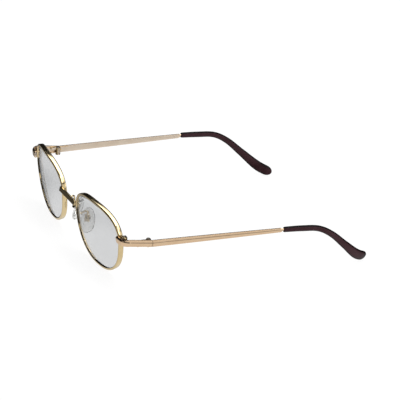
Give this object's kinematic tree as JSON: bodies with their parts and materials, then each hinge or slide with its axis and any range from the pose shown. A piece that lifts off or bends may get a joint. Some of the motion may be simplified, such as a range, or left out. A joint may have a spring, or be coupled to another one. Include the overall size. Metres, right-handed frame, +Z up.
{
  "type": "eyeglasses",
  "caption": "Full-rim metal eyeglasses with rounded lenses, grooved eye wires, folding two-facet temples with plastic tips, and rocking silicone nose pads",
  "frame": {"origin": "centre of the bounding box in X and Y, on the surface that the open glasses rest on", "axes": "+X toward the wearer's left, the front faces -Y and the temples run back along +Y, +Z up"},
  "size_m": [0.14, 0.149, 0.0369],
  "materials": {
    "gold_metal": "polished pale gold plating",
    "screw_steel": "small polished steel screws",
    "clear_lens": "clear polished lens",
    "clear_silicone": "clear soft silicone",
    "brown_tip": "dark burgundy brown satin acetate"
  },
  "bodies": {
    "front": {"bridge": "gold_metal", "rim_left": "gold_metal", "lens_left": "clear_lens", "rim_lock_upper_left": "gold_metal", "rim_lock_lower_left": "gold_metal", "rim_lock_screw_left": "screw_steel", "end_piece_left": "gold_metal", "hinge_front_leaf_left": "gold_metal", "hinge_screw_left": "screw_steel", "pad_arm_left": "gold_metal", "pad_box_left": "gold_metal", "pad_screw_left": "screw_steel", "rim_right": "gold_metal", "lens_right": "clear_lens", "rim_lock_upper_right": "gold_metal", "rim_lock_lower_right": "gold_metal", "rim_lock_screw_right": "screw_steel", "end_piece_right": "gold_metal", "hinge_front_leaf_right": "gold_metal", "hinge_screw_right": "screw_steel", "pad_arm_right": "gold_metal", "pad_box_right": "gold_metal", "pad_screw_right": "screw_steel"},
    "temple_left": {"hinge_temple_leaf_left": "gold_metal", "temple_bar_left": "gold_metal", "temple_tip_left": "brown_tip"},
    "pad_left": {"nose_pad_left": "clear_silicone", "pad_insert_left": "clear_silicone"},
    "temple_right": {"hinge_temple_leaf_right": "gold_metal", "temple_bar_right": "gold_metal", "temple_tip_right": "brown_tip"},
    "pad_right": {"nose_pad_right": "clear_silicone", "pad_insert_right": "clear_silicone"}
  },
  "joints": [
    {"name": "left_temple_fold", "type": "hinge", "parent": "front", "child": "temple_left", "pos_m": [0.0652, -0.05392, 0.02407], "axis": [0, 0, 1], "range_deg": [0, 90]},
    {"name": "right_temple_fold", "type": "hinge", "parent": "front", "child": "temple_right", "pos_m": [-0.0652, -0.05392, 0.02407], "axis": [0, 0, -1], "range_deg": [0, 84]},
    {"name": "left_pad_rock", "type": "hinge", "parent": "front", "child": "pad_left", "pos_m": [0.0089, -0.0643, 0.01583], "axis": [0.5299, 0.848, 0], "range_deg": [-8, 8]},
    {"name": "right_pad_rock", "type": "hinge", "parent": "front", "child": "pad_right", "pos_m": [-0.0089, -0.0643, 0.01583], "axis": [-0.5299, 0.848, 0], "range_deg": [-8, 8]}
  ]
}
